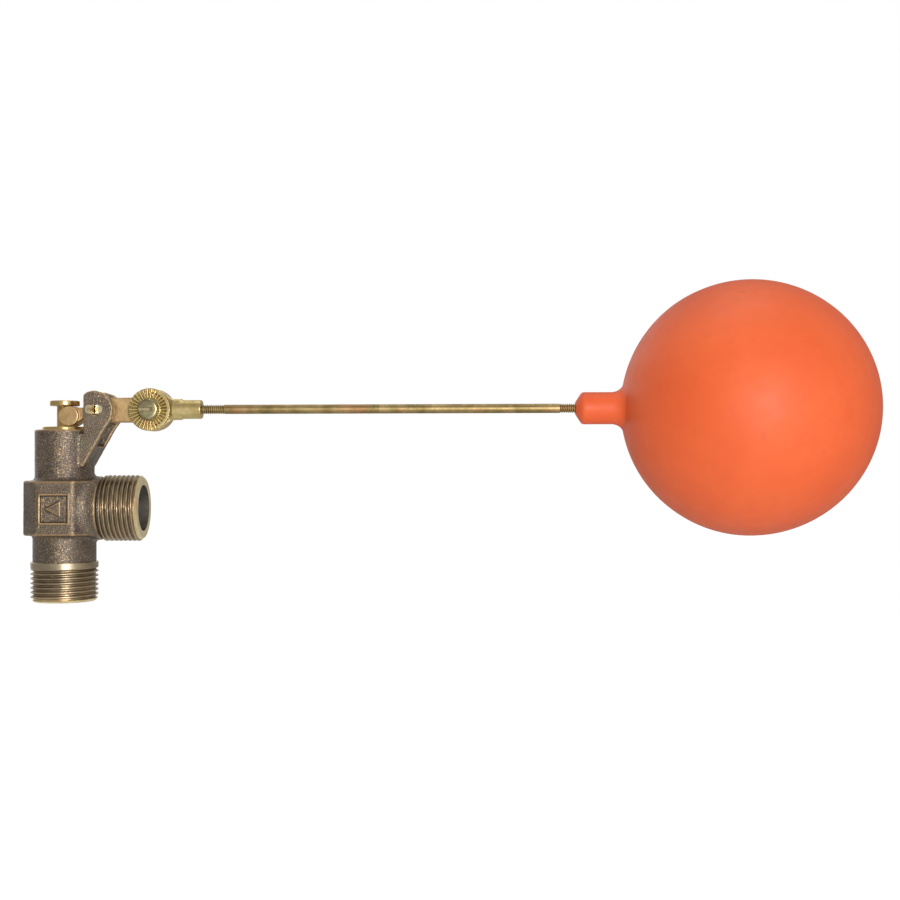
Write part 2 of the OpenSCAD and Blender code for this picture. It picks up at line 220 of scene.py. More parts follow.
def net_quads(inside, index, axis):
    """One quad around each grid edge along this axis that crosses the surface."""
    b, c = (axis + 1) % 3, (axis + 2) % 3
    core = [slice(1, -1)] * 3
    core[axis] = slice(0, -1)
    ahead = list(core)
    ahead[axis] = slice(1, None)
    fa, fb = inside[tuple(core)], inside[tuple(ahead)]
    cut = np.argwhere((fa < 0) != (fb < 0))
    outward = (fa < 0)[tuple(cut.T)]
    cut[:, [b, c]] += 1
    around = []
    for db, dc in ((-1, -1), (0, -1), (0, 0), (-1, 0)):
        place = cut.copy()
        place[:, b] += db
        place[:, c] += dc
        around.append(index[tuple(place.T)])
    quads = np.stack(around, axis=1)
    quads[~outward] = quads[~outward][:, ::-1]
    return quads


def slope(field, p, delta=0.02):
    """The field's gradient at points p."""
    parts = []
    for axis in range(3):
        step = np.zeros(3)
        step[axis] = delta
        parts.append((field(*(p + step).T) - field(*(p - step).T)) / (2 * delta))
    return np.stack(parts, axis=1)


def settle(field, verts, step, rounds=3):
    """Moves each vertex onto the surface, by at most a third of a cell a round."""
    for _ in range(rounds):
        grad = slope(field, verts)
        size = np.maximum((grad ** 2).sum(axis=1), 0.05)
        move = (field(*verts.T) / size)[:, None] * grad
        length = np.maximum(np.linalg.norm(move, axis=1), 1e-9)
        verts = verts - move * np.minimum(1, step / 3 / length)[:, None]
    return verts


def make_piece(name, verts, faces, body, nodes, material, sharp=None):
    """A mesh object from mm vertices, riding on a body and standing for its CAD nodes."""
    mesh = bpy.data.meshes.new(name)
    mesh.from_pydata((np.asarray(verts) * MM).tolist(), [], [list(f) for f in faces])
    mesh.update()
    mesh.polygons.foreach_set("use_smooth", [True] * len(mesh.polygons))
    if sharp:
        mesh.set_sharp_from_angle(angle=math.radians(sharp))
    mesh.materials.append(material)
    piece = bpy.data.objects.new(name, mesh)
    bpy.context.scene.collection.objects.link(piece)
    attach(piece, body)
    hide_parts(*nodes)
    return piece


def paint(piece, material, chosen):
    """Gives one more material to the faces whose centre, in mm, is chosen."""
    piece.data.materials.append(material)
    last = len(piece.data.materials) - 1
    for face in piece.data.polygons:
        if chosen(*(face.center / MM)):
            face.material_index = last


def roughen(verts, normals, lumps):
    """Lumps of a cast skin: a list of (size in mm, height in mm), always pressed inward."""
    out = np.array(verts)
    for i, v in enumerate(verts):
        rise = sum(h * (noise.noise(Vector(v) / size) - 1) / 2 for size, h in lumps)
        out[i] += normals[i] * rise
    return out


def net_piece(name, field, low, high, step, body, nodes, material, lumps=(), sharp=None):
    verts, quads = surface_net(field, low, high, step)
    if lumps:
        normals = slope(field, verts)
        normals /= np.maximum(np.linalg.norm(normals, axis=1), 1e-6)[:, None]
        verts = roughen(verts, normals, lumps)
    return make_piece(name, verts, quads, body, nodes, material, sharp)


def rounded(profile, radius, steps=3):
    """A closed (radius, height) outline with each corner rounded, except on the axis."""
    out = []
    count = len(profile)
    for i, corner in enumerate(profile):
        here = np.array(corner, float)
        if here[0] < 1e-6:
            out.append(here)
            continue
        before, after = np.array(profile[i - 1], float), np.array(profile[(i + 1) % count], float)
        back, ahead = before - here, after - here
        room = min(np.linalg.norm(back), np.linalg.norm(ahead)) * 0.4
        reach = min(radius, room)
        a = here + back / np.linalg.norm(back) * reach
        b = here + ahead / np.linalg.norm(ahead) * reach
        for t in np.linspace(0, 1, steps + 1):
            out.append((1 - t) ** 2 * a + 2 * t * (1 - t) * here + t * t * b)
    return out


def refined(profile, longest, beyond):
    """The closed outline with its stretches outside radius beyond split into short steps."""
    out = []
    for a, b in zip(profile, profile[1:] + profile[:1]):
        outside = min(a[0], b[0]) > beyond
        parts = max(1, math.ceil(np.linalg.norm(np.subtract(b, a)) / longest)) if outside else 1
        out += [np.add(a, np.subtract(b, a) * t / parts) for t in range(parts)]
    return out


def along(axis, centre):
    """A function that places (u, v, s) around an axis: s runs along it from the centre."""
    centre = np.asarray(centre, float)
    order = {"z": (0, 1, 2), "x": (1, 2, 0), "y": (2, 0, 1)}[axis]

    def place(u, v, s):
        points = np.zeros(u.shape + (3,))
        for source, target in zip((u, v, s), order):
            points[..., target] = source
        return points + centre

    return place


def revolve(profile, place, segments=96, change=None):
    """Vertices and quads of an outline turned about an axis. The outline runs anticlockwise, with the
    radius to the right and the height up. change(r, s, angle) may alter the radius."""
    profile = np.array([np.asarray(p, float) for p in profile])
    angle = np.linspace(0, 2 * math.pi, segments, endpoint=False)
    r, s = np.meshgrid(profile[:, 0], angle, indexing="ij")[0], profile[:, 1][:, None]
    s = np.broadcast_to(s, r.shape)
    a = np.broadcast_to(angle, r.shape)
    if change:
        r = change(r, s, a)
    verts = place(r * np.cos(a), r * np.sin(a), s).reshape(-1, 3)
    n = len(profile)
    on_axis = profile[:, 0] < 1e-6
    faces = []
    for i in range(n):
        j = (i + 1) % n
        if on_axis[i] and on_axis[j]:
            continue
        for k in range(segments):
            m = (k + 1) % segments
            quad = [i * segments + k, i * segments + m, j * segments + m, j * segments + k]
            if on_axis[i]:
                quad = [i * segments, quad[2], quad[3]]
            elif on_axis[j]:
                quad = [quad[0], quad[1], j * segments]
            faces.append(quad)
    return verts, faces


def tidy_verts(verts, faces):
    """Drops the vertices that no face uses."""
    used = sorted({v for f in faces for v in f})
    new = {old: i for i, old in enumerate(used)}
    return np.asarray(verts)[used], [[new[v] for v in f] for f in faces]


def turned_piece(name, profile, axis, centre, body, nodes, material, edge=0.2, segments=96,
                 fine=None, change=None):
    """A lathe-turned piece from its (radius, height) outline. fine is (longest step, beyond radius)."""
    outline = rounded(profile, edge)
    if fine:
        outline = refined(outline, *fine)
    verts, faces = tidy_verts(*revolve(outline, along(axis, centre), segments, change))
    return make_piece(name, verts, faces, body, nodes, material, sharp=40)


# ---- Materials ----


def linear(r, g, b):
    """A colour given as 0 to 255 sRGB, as the scene-linear RGBA that shaders take."""
    def channel(c):
        c /= 255
        return c / 12.92 if c <= 0.04045 else ((c + 0.055) / 1.055) ** 2.4
    return (channel(r), channel(g), channel(b), 1.0)


class Surface:
    """Builds one material's nodes around a Principled shader."""

    made = 0

    def __init__(self, name, metallic=1.0, **constants):
        Surface.made += 1
        self.material = bpy.data.materials.new(name)
        self.material.use_nodes = True
        self.tree = self.material.node_tree
        self.tree.nodes.clear()
        self.shader = self.tree.nodes.new("ShaderNodeBsdfPrincipled")
        output = self.tree.nodes.new("ShaderNodeOutputMaterial")
        self.tree.links.new(self.shader.outputs[0], output.inputs[0])
        self.shader.inputs["Metallic"].default_value = metallic
        for socket, value in constants.items():
            self.shader.inputs[socket.replace("_", " ")].default_value = value
        self.coords = self.tree.nodes.new("ShaderNodeTexCoord").outputs["Object"]

    def put(self, socket, value):
        if isinstance(value, bpy.types.NodeSocket):
            self.tree.links.new(value, socket)
        else:
            socket.default_value = value

    def noise(self, size_mm, detail=3.0, rough=0.55, stretch=(1, 1, 1), warp=0.0):
        """Noise from 0 to 1 whose features are about size_mm across."""
        move = self.tree.nodes.new("ShaderNodeMapping")
        self.tree.links.new(self.coords, move.inputs["Vector"])
        move.inputs["Location"].default_value = (Surface.made * 0.31, len(self.tree.nodes) * 0.17, 0)
        move.inputs["Scale"].default_value = [1 / (s * size_mm * MM) for s in stretch]
        n = self.tree.nodes.new("ShaderNodeTexNoise")
        self.tree.links.new(move.outputs[0], n.inputs["Vector"])
        n.inputs["Scale"].default_value = 1.0
        n.inputs["Detail"].default_value = detail
        n.inputs["Roughness"].default_value = rough
        n.inputs["Distortion"].default_value = warp
        return n.outputs["Fac"]

    def pits(self, size_mm):
        """Distance from the nearest of many scattered points, for grains and pits."""
        v = self.tree.nodes.new("ShaderNodeTexVoronoi")
        self.tree.links.new(self.coords, v.inputs["Vector"])
        v.inputs["Scale"].default_value = 1 / (size_mm * MM)
        return v.outputs["Distance"]

    def edges(self):
        """Above 0.5 on outer edges and below it in hollows."""
        return self.tree.nodes.new("ShaderNodeNewGeometry").outputs["Pointiness"]

    def ramp(self, value, low, high, to_low=0.0, to_high=1.0):
        m = self.tree.nodes.new("ShaderNodeMapRange")
        for socket, v in zip(m.inputs, (value, low, high, to_low, to_high)):
            self.put(socket, v)
        return m.outputs[0]

    def maths(self, operation, a, b):
        m = self.tree.nodes.new("ShaderNodeMath")
        m.operation = operation
        self.put(m.inputs[0], a)
        self.put(m.inputs[1], b)
        return m.outputs[0]

    def mix(self, share, a, b):
        m = self.tree.nodes.new("ShaderNodeMix")
        m.data_type = "RGBA"
        self.put(m.inputs["Factor"], share)
        self.put(m.inputs[6], a)
        self.put(m.inputs[7], b)
        return m.outputs[2]

    def bump(self, height, strength, depth_mm, under=None):
        b = self.tree.nodes.new("ShaderNodeBump")
        b.inputs["Strength"].default_value = strength
        b.inputs["Distance"].default_value = depth_mm * MM
        self.put(b.inputs["Height"], height)
        if under is not None:
            self.put(b.inputs["Normal"], under)
        return b.outputs[0]

    def finish(self, colour, roughness, normal=None):
        self.put(self.shader.inputs["Base Color"], colour)
        self.put(self.shader.inputs["Roughness"], roughness)
        if normal is not None:
            self.put(self.shader.inputs["Normal"], normal)
        return self.material


def cast_bronze():
    """Sand-cast skin: grey-brown oxide with bare brassy grains; brass on the outer edges as wear with a
    painted highlight, and painted shade in the hollows.
    """
    s = Surface("cast_bronze", Specular_IOR_Level=0.4)
    grain = s.noise(0.5, detail=4, rough=0.7)
    colour = s.mix(s.ramp(s.noise(9, detail=5), 0.35, 0.65), linear(72, 66, 61), linear(94, 86, 77))
    colour = s.mix(s.ramp(s.noise(14), 0.55, 0.72, 0, 0.5), colour, linear(98, 82, 84))
    colour = s.mix(s.ramp(s.noise(11), 0.58, 0.75, 0, 0.4), colour, linear(88, 92, 70))
    colour = s.mix(s.ramp(grain, 0.46, 0.3, 0, 0.6), colour, linear(50, 44, 40))
    # Edge wear with a painted highlight: outer edges turn to bright bare brass.
    rubbed_and_highlit = s.ramp(s.edges(), 0.508, 0.545, 0, 0.65)
    bare_and_highlit = s.maths("MAXIMUM", s.ramp(grain, 0.535, 0.68, 0, 0.85), rubbed_and_highlit)
    colour = s.mix(bare_and_highlit, colour, linear(230, 188, 132))
    # Painted shade: darker brown-grey in the hollows.
    colour = s.mix(s.ramp(s.edges(), 0.485, 0.43, 0, 0.8), colour, linear(46, 40, 36))
    s.put(s.shader.inputs["Metallic"], s.ramp(bare_and_highlit, 0, 0.7, 0.45, 1))
    rough = s.ramp(bare_and_highlit, 0.1, 0.9, 0.4, 0.26)
    normal = s.bump(grain, 0.6, 0.25)
    normal = s.bump(s.pits(0.7), 0.3, 0.2, normal)
    return s.finish(colour, rough, normal)


def port_bore():
    """Dull brown inside of a port."""
    s = Surface("port_bore", metallic=0.3, Specular_IOR_Level=0.3)
    colour = s.mix(s.ramp(s.noise(4, detail=5), 0.35, 0.65), linear(60, 56, 52), linear(86, 80, 72))
    return s.finish(colour, s.ramp(s.noise(2), 0.3, 0.7, 0.5, 0.7), s.bump(s.noise(0.7), 0.5, 0.1))


def brass(name, light, dark, tint, rough=(0.3, 0.45), grain_mm=0.5, bump_mm=0.04, patch_mm=7,
          wear_and_highlight=None, hollow_shade=None, stretch=(1, 1, 1), metallic=1.0):
    """Brass with tarnish in patches and a fine grain; bright edges of wear with a painted highlight, and
    painted shade in the hollows.
    """
    s = Surface(name, metallic=metallic)
    grain = s.noise(grain_mm, detail=3, stretch=stretch)
    colour = s.mix(s.ramp(s.noise(patch_mm, detail=4), 0.35, 0.65), dark, light)
    colour = s.mix(s.ramp(s.noise(patch_mm * 1.7, detail=5), 0.5, 0.7, 0, 0.7), colour, tint)
    # Bright edges: wear, with a painted highlight on them.
    if wear_and_highlight:
        colour = s.mix(s.ramp(s.edges(), 0.52, 0.58, 0, 0.8), colour, wear_and_highlight)
    # Painted shade: darker in the hollows.
    if hollow_shade:
        colour = s.mix(s.ramp(s.edges(), 0.49, 0.42, 0, 0.85), colour, hollow_shade)
    colour = s.mix(s.ramp(grain, 0.3, 0.7, 0.12, 0.0), colour, dark)
    smooth, dull = rough
    roughness = s.ramp(s.noise(patch_mm * 0.6, detail=4), 0.3, 0.7, smooth, dull)
    return s.finish(colour, roughness, s.bump(grain, 0.6, bump_mm))


def rubber(name, base, bloom):
    s = Surface(name, metallic=0.0, Specular_IOR_Level=0.35)
    colour = s.mix(s.ramp(s.noise(3, detail=5), 0.45, 0.75, 0, 0.5), base, bloom)
    return s.finish(colour, s.ramp(s.noise(1.2), 0.3, 0.7, 0.55, 0.75), s.bump(s.noise(0.3), 0.5, 0.03))


def orange_plastic():
    """Blow-moulded polyethylene: satin, slightly mottled, with grey scuffs."""
    s = Surface("orange_plastic", metallic=0.0, Specular_IOR_Level=0.3)
    colour = s.mix(s.ramp(s.noise(45, detail=3), 0.3, 0.7), linear(212, 87, 42), linear(220, 96, 49))
    colour = s.mix(s.ramp(s.noise(6, detail=5), 0.5, 0.8, 0, 0.25), colour, linear(198, 78, 42))
    scuff = s.maths("MULTIPLY", s.ramp(s.noise(16, detail=6, rough=0.7), 0.6, 0.72),
                    s.ramp(s.noise(60, detail=2), 0.5, 0.62))
    colour = s.mix(s.maths("MULTIPLY", scuff, 0.4), colour, linear(150, 74, 48))
    rough = s.ramp(s.noise(9, detail=5), 0.3, 0.7, 0.48, 0.6)
    normal = s.bump(s.noise(14, detail=2), 0.25, 0.4)
    normal = s.bump(s.noise(0.6, detail=4), 0.35, 0.03, normal)
    return s.finish(colour, rough, normal)


CAST = cast_bronze()
BORE = port_bore()
# In the brass materials below, the bright edge colour is wear with a painted highlight, and the dark hollow
# colour is painted shade.
THREAD = brass("thread_brass", linear(186, 168, 138), linear(150, 136, 114), linear(160, 138, 116),
               rough=(0.3, 0.44), grain_mm=0.35, patch_mm=9, wear_and_highlight=linear(224, 202, 162),
               hollow_shade=linear(92, 82, 70))
# Painted highlight: a paler brass for the faced mouths of the pipe ends, brighter than the thread, standing in
# for the light the mouths catch.
FACED_HIGHLIT = brass("faced_brass", linear(250, 234, 186), linear(226, 206, 158), linear(234, 204, 164),
              rough=(0.32, 0.42), grain_mm=0.3, bump_mm=0.02, patch_mm=5)
TURNED = brass("turned_brass", linear(206, 176, 114), linear(160, 132, 80), linear(176, 134, 96),
               rough=(0.22, 0.34), grain_mm=0.3, bump_mm=0.02, wear_and_highlight=linear(240, 216, 152))
LEVER = brass("lever_brass", linear(210, 180, 128), linear(184, 152, 106), linear(192, 152, 114),
              rough=(0.38, 0.5), grain_mm=0.7, bump_mm=0.05, wear_and_highlight=linear(240, 212, 150),
              hollow_shade=linear(96, 72, 44))
JOINT = brass("joint_brass", linear(214, 196, 140), linear(190, 168, 110), linear(190, 154, 116),
              rough=(0.34, 0.44), grain_mm=0.6, bump_mm=0.03, patch_mm=6,
              wear_and_highlight=linear(255, 240, 190), hollow_shade=linear(78, 60, 34))
SCREW = brass("screw_brass", linear(184, 174, 134), linear(136, 128, 94), linear(150, 134, 100),
              rough=(0.28, 0.4), grain_mm=0.4, wear_and_highlight=linear(240, 230, 184), hollow_shade=linear(46, 38, 24))
ROD = brass("rod_brass", linear(170, 148, 104), linear(128, 110, 70), linear(168, 122, 86),
            rough=(0.44, 0.54), grain_mm=0.5, patch_mm=6, stretch=(12, 1, 1), hollow_shade=linear(66, 54, 34),
            wear_and_highlight=linear(200, 178, 128))
PIN = brass("pin_brass", linear(226, 208, 164), linear(170, 150, 108), linear(180, 150, 120),
            rough=(0.2, 0.32), grain_mm=0.3, wear_and_highlight=linear(250, 240, 210))
FIBRE = rubber("fibre_gasket", linear(138, 62, 44), linear(160, 90, 66))
CUP_RUBBER = rubber("cup_rubber", linear(44, 38, 34), linear(74, 66, 60))
BLACK_RUBBER = rubber("black_rubber", linear(24, 24, 24), linear(56, 54, 52))
ORANGE = orange_plastic()

# ---- Valve body ----

SQRT2 = math.sqrt(2)


def block(x, y, z):
    side = BLOCK_HALF - 0.25  # leaves room for the parting line
    octagon = edged(np.abs(x) - side, np.abs(y) - BLOCK_HALF, 0.6)
    octagon = edged(octagon, (np.abs(x) + np.abs(y) - BLOCK_CUT) / SQRT2, 0.9)
    return edged(octagon, between(z, BLOCK_BOTTOM, BLOCK_TOP), 1.3)


def ear_outline(x, z):
    """Both ears seen from the side: straight at the back, round at the front, slanting below."""
    slant = np.array([0.8699, -0.4932])
    pivot = np.array([PIVOT_X, PIVOT_Z])
    touch = pivot + EAR_R * slant
    foot = touch - 27.8 * np.array([-slant[1], slant[0]])
    top = PIVOT_Z + EAR_R
    arm = polygon_2d(x, z, [
        (5, 66), tuple(foot), tuple(touch), tuple(pivot), (PIVOT_X, top),
        (EAR_BACK + 2, top - 0.5), (EAR_BACK, top - 2.4), (EAR_BACK, 84.5), (5, 84.5)])
    whole = fillet(arm, np.hypot(x - PIVOT_X, z - PIVOT_Z) - EAR_R, 1.5)
    return carve(whole, np.maximum(x - EAR_BACK, UPPER_TOP - 2 - z), 0.5)


def bracket(x, y, z):
    plates = edged(ear_outline(x, z), between(y, -EAR_HALF_W, EAR_HALF_W), 1.1)
    slot = edged(np.abs(y) - SLOT_HALF_W, SLOT_FLOOR - z, 1.6)
    return carve(plates, slot, 0.6)


def flow_panel(x, y, z):
    """Cut into the front flat: a square recess that leaves a plain triangle standing."""
    w = np.maximum(np.abs(x), np.abs(z - INLET_Z)) - 6.6
    pocket = np.maximum(w, y + BLOCK_HALF - 0.75)
    triangle = polygon_2d(x, z, [(-4, INLET_Z), (3, INLET_Z - 3.6), (3, INLET_Z + 3.6)]) - 0.3
    return np.maximum(pocket, -np.maximum(triangle, -BLOCK_HALF + 0.15 - y))


def panel_frame(x, y, z):
    """A thin raised border round the panel."""
    w = np.abs(np.maximum(np.abs(x), np.abs(z - INLET_Z)) - 7.3) - 0.55
    return edged(w, between(y, -BLOCK_HALF - 0.35, -BLOCK_HALF + 1), 0.3)


def bores(x, y, z):
    """Everything drilled out of the casting."""
    r = np.hypot(x, y)
    outlet = np.maximum(r - PORT_BORE_R - 0.1, z - LEDGE_BOTTOM)
    ledge = np.maximum(r - LEDGE_R, between(z, LEDGE_BOTTOM - 1, CHAMBER_BOTTOM + 1))
    chamber = edged(r - CHAMBER_R, between(z, CHAMBER_BOTTOM, CHAMBER_TOP), 0.8)
    cylinder = np.maximum(r - PISTON_BORE_R, CHAMBER_TOP - 1 - z)
    inlet = np.maximum(np.hypot(y, z - INLET_Z) - PORT_BORE_R - 0.1, -x)
    return np.minimum.reduce([outlet, ledge, chamber, cylinder, inlet])


def casting(x, y, z):
    r = np.hypot(x, y)
    side = np.hypot(y, z - INLET_Z)
    neck = edged(r - NECK_R, between(z, OUTLET_LEN - 1, 40), 0.3)
    upper = edged(r - UPPER_R, between(z, 50, UPPER_TOP), 0.9)
    boss = edged(side - BOSS_R, between(x, 0, INLET_X - INLET_LEN - 1.6), 1.0)
    relief = np.maximum(side - RELIEF_R, between(x, 0, INLET_X - INLET_LEN + 1))
    d = fillet(block(x, y, z), neck, 1.6)
    d = fillet(d, fillet(upper, bracket(x, y, z), 0.5), 2.0)
    d = fillet(d, boss, 2.4)
    d = d - 0.22 * np.exp(-(y / 0.45) ** 2)  # the mould's parting line
    d = fillet(d, panel_frame(x, y, z), 0.3)
    d = np.minimum(d, relief)
    d = np.maximum(d, -flow_panel(x, y, z))
    d = carve(d, bores(x, y, z), 0.35)
    return carve(d, np.hypot(x - PIVOT_X, z - PIVOT_Z) - PIN_R - 0.12, 0.3)


def pipe_thread(s, angle, start, end, run_in, run_out):
    """Radius of the 1 inch pipe thread, which fades in over run_in and out over run_out."""
    pitch, depth = 2.309, 1.45
    cut = THREAD_R - thread_radius(THREAD_R, depth, pitch, s, angle)
    fade = np.clip((s - start) / run_in, 0, 1) * np.clip((end - s) / run_out, 0, 1)
    return THREAD_R - cut * fade


def thread_sleeve(name, outline, axis, centre, *limits):
    """A male pipe end, with its mouth and bore."""
    def change(r, s, angle):
        return np.minimum(r, pipe_thread(s, angle, *limits))

    return turned_piece(name, outline, axis, centre, "valve", ["valve_body"], THREAD,
                        edge=0.3, segments=160, fine=(0.16, RELIEF_R), change=change)


def valve_body():
    low = np.array([BODY_LOW[0], BODY_LOW[1] - 1, OUTLET_LEN - 2])
    high = np.array([PIVOT_X + EAR_R + 1, BODY_HIGH[1] + 1, BODY_HIGH[2] + 1])
    net_piece("body_casting", casting, low, high, 0.5, "valve", ["valve_body"], CAST,
              lumps=[(7, 0.16), (2.2, 0.12)])
    mouth, collar, snap = 1.6, 2.7, 0.05
    outlet = thread_sleeve(
        "outlet_thread",
        [(PORT_BORE_R, 0), (THREAD_R - mouth, 0), (THREAD_R, mouth), (THREAD_R, OUTLET_LEN),
         (PORT_BORE_R, OUTLET_LEN)],
        "z", (0, 0, 0), 0, OUTLET_LEN - collar, snap, 1.2)
    inlet = thread_sleeve(
        "inlet_thread",
        [(PORT_BORE_R, 0), (THREAD_R, 0), (THREAD_R, INLET_LEN - mouth), (THREAD_R - mouth, INLET_LEN),
         (PORT_BORE_R, INLET_LEN)],
        "x", (INLET_X - INLET_LEN, 0, INLET_Z), 0, INLET_LEN, 0.9, snap)
    # Painted highlight: the mouths get the paler faced brass.
    paint(outlet, FACED_HIGHLIT, lambda x, y, z: z < mouth)
    paint(inlet, FACED_HIGHLIT, lambda x, y, z: x > INLET_X - mouth)
    paint(outlet, BORE, lambda x, y, z: math.hypot(x, y) < PORT_BORE_R + 0.02)
    paint(inlet, BORE, lambda x, y, z: math.hypot(y, z - INLET_Z) < PORT_BORE_R + 0.02)


# ---- Seat, below the chamber ----


def seat_ring(x, y, z):
    r = np.hypot(x, y)
    flange = edged(r - RING_HIGH[0], between(z, RING_LOW[2], 31), 0.4)
    nozzle = edged(r - LEDGE_R + 0.05, between(z, 30, RING_HIGH[2]), 0.6)
    d = carve(fillet(flange, nozzle, 0.4), r - 7, 0.5)
    return carve(d, np.maximum(np.abs(y) - 1.75, z - RING_LOW[2] - 1.6), 0.2)


def seat_screw(x, y, z):
    low, high = node_box("seat_washer_screw")
    head = edged(np.hypot(x, y) - high[0], between(z, low[2], low[2] + 2.2), 0.6)
    shank = np.maximum(np.hypot(x, y) - 1.9, between(z, low[2] + 1, high[2] - 1))
    return carve(np.minimum(head, shank), np.maximum(np.abs(y) - 0.5, z - low[2] - 1), 0.15)


def washer(name, body, material, edge=0.25, hole=None):
    """A flat ring on the piston axis with rounded edges, from its CAD box."""
    low, high = node_box(name)
    ring = [(hole, low[2]), (high[0], low[2]), (high[0], high[2]), (hole, high[2])]
    turned_piece(name + "_look", ring, "z", (0, 0, 0), body, [name], material, edge=edge)


def seat():
    net_piece("seat_ring_look", seat_ring, RING_LOW, RING_HIGH, 0.3, "valve",
              ["seat_ring"], TURNED, sharp=50)
    low, high = node_box("seat_washer_screw")
    net_piece("seat_washer_screw_look", seat_screw, low, high, 0.2, "piston",
              ["seat_washer_screw"], TURNED, sharp=50)
    washer("seat_gasket", "valve", FIBRE, hole=LEDGE_R)
    washer("seat_washer", "piston", BLACK_RUBBER, 0.5, hole=2.05)
    washer("seat_washer_retainer", "piston", TURNED, 0.3, hole=2.05)


# ---- Piston ----


def piston():
    stem_r, low, high = STEM_HIGH[0], STEM_LOW[2], STEM_HIGH[2]
    shoulder, neck_r, disc_r, disc_low = 87.8, 3.9, 7.4, high - 2.6
    groove_r, stud_r, stud_top = 8.55, 4.05, 74
    ring_low, ring_high = node_box("piston_o_ring")
    stem = [
        (stud_r, low), (stem_r, low), (stem_r, ring_low[2] - 0.1), (groove_r, ring_low[2] - 0.1),
        (groove_r, ring_high[2] + 0.1), (stem_r, ring_high[2] + 0.1), (stem_r, shoulder),
        (neck_r, shoulder), (neck_r, disc_low), (disc_r, disc_low), (disc_r, high), (0, high),
        (0, stud_top), (stud_r, stud_top)]
    turned_piece("piston_stem_look", stem, "z", (0, 0, 0), "piston",
                 ["piston_stem"], TURNED, edge=0.45)
    spool_low, spool_high = node_box("piston_spool")
    holder_r, waist_r, flange_r, washer_r, screw_r = spool_high[0], 5.5, 9.6, 9.05, 2.05
    bottom, top = spool_low[2], spool_high[2]
    spool = [
        (washer_r, bottom), (holder_r, bottom), (holder_r, bottom + 6), (waist_r, bottom + 6),
        (waist_r, 60), (flange_r, 60), (flange_r, 62), (4, 62), (4, top), (0, top), (0, 51),
        (screw_r, 51), (screw_r, bottom + 1.75), (washer_r, bottom + 1.75)]
    turned_piece("piston_spool_look", spool, "z", (0, 0, 0), "piston",
                 ["piston_spool"], TURNED, edge=0.5)
    cup_low, cup_high = node_box("cup_seal")
    cup_r = cup_high[0]
    cup = [(cup_r - 1.1, cup_low[2]), (cup_r, cup_low[2]), (cup_r, cup_high[2]), (stud_r, cup_high[2]),
           (stud_r, 62), (cup_r - 1.3, 62)]
    turned_piece("cup_seal_look", cup, "z", (0, 0, 0), "piston", ["cup_seal"],
                 CUP_RUBBER, edge=0.4)
    washer("cup_washer", "piston", TURNED, 0.3, hole=stud_r)
    ring_r = (ring_high[2] - ring_low[2]) / 2
    turn = [2 * math.pi * i / 16 for i in range(16)]
    section = [(ring_high[0] - ring_r + ring_r * math.cos(t), ring_r * math.sin(t)) for t in turn]
    turned_piece("piston_o_ring_look", section, "z", (0, 0, (ring_low[2] + ring_high[2]) / 2),
                 "piston", ["piston_o_ring"], BLACK_RUBBER, edge=0)


# ---- Lever and elbow joint ----


def from_pivot(dx, dz):
    return PIVOT_X + dx, PIVOT_Z + dz


def prong_outline(x, z):
    """Fork cheek and its arm; the lower edge clears the rising shoulder up to full travel."""
    along_edge = np.array([math.cos(OPEN_ANGLE), math.sin(OPEN_ANGLE)])
    under = np.array([CHEEK_X, CHEEK_Z]) + CHEEK_R * np.array([along_edge[1], -along_edge[0]])
    arm = polygon_2d(x, z, [
        (CHEEK_X, CHEEK_Z), tuple(under), tuple(under + 7.5 * along_edge), (PIVOT_X, PIVOT_Z),
        from_pivot(-5, 1.3), (CHEEK_X + 2, PIVOT_Z + 1.3)])
    return fillet(arm, np.hypot(x - CHEEK_X, z - CHEEK_Z) - CHEEK_R, 0.6)


def lever(x, y, z):
    hub_r = np.hypot(x - PIVOT_X, z - PIVOT_Z)
    disc_r = np.hypot(x - JOINT_X, z - JOINT_Z)
    boss_r = np.hypot(x - CHEEK_X, z - CHEEK_Z) - CHEEK_R
    arms = edged(prong_outline(x, z), between(y, -FORK_HALF_W + 1, FORK_HALF_W - 1), 0.5)
    prongs = fillet(arms, edged(boss_r, between(y, -FORK_HALF_W, FORK_HALF_W), 0.5), 0.3)
    hub = edged(hub_r - BAR_HALF_H, between(y, -FORK_HALF_W, FORK_HALF_W), 0.6)
    side = np.maximum(np.abs(z - PIVOT_Z) - BAR_HALF_H, between(x, PIVOT_X, JOINT_X))
    bar = edged(side, between(y, -BAR_HALF_T, BAR_HALF_T), 0.9)
    disc = edged(disc_r - DISC_R, between(y, -BAR_HALF_T + TOOTH_H, BAR_HALF_T), 0.6)
    ring = np.maximum(disc_r - RING_OUT, between(y, -BAR_HALF_T, 0))
    d = np.minimum(fillet(prongs, fillet(hub, bar, 1.2), 0.8), disc)
    d = np.maximum(d, -np.maximum(disc_r - DISC_R - 0.3, y + BAR_HALF_T - TOOTH_H))
    roots = -BAR_HALF_T + TOOTH_H * np.where(disc_r < RING_IN, 1, tooth_wave(x, z))
    teeth = np.maximum(ring, (roots - y) * 0.8)
    d = np.minimum(d, teeth)
    slot = edged(np.abs(y) - FORK_HALF_GAP, x - CHEEK_X - 3, 1.5)
    d = carve(d, np.maximum(slot, z - PIVOT_Z - 20), 0.4)
    d = carve(d, hub_r - PIN_R - 0.06, 0.3)
    return carve(d, disc_r - 3.05, 0.2)


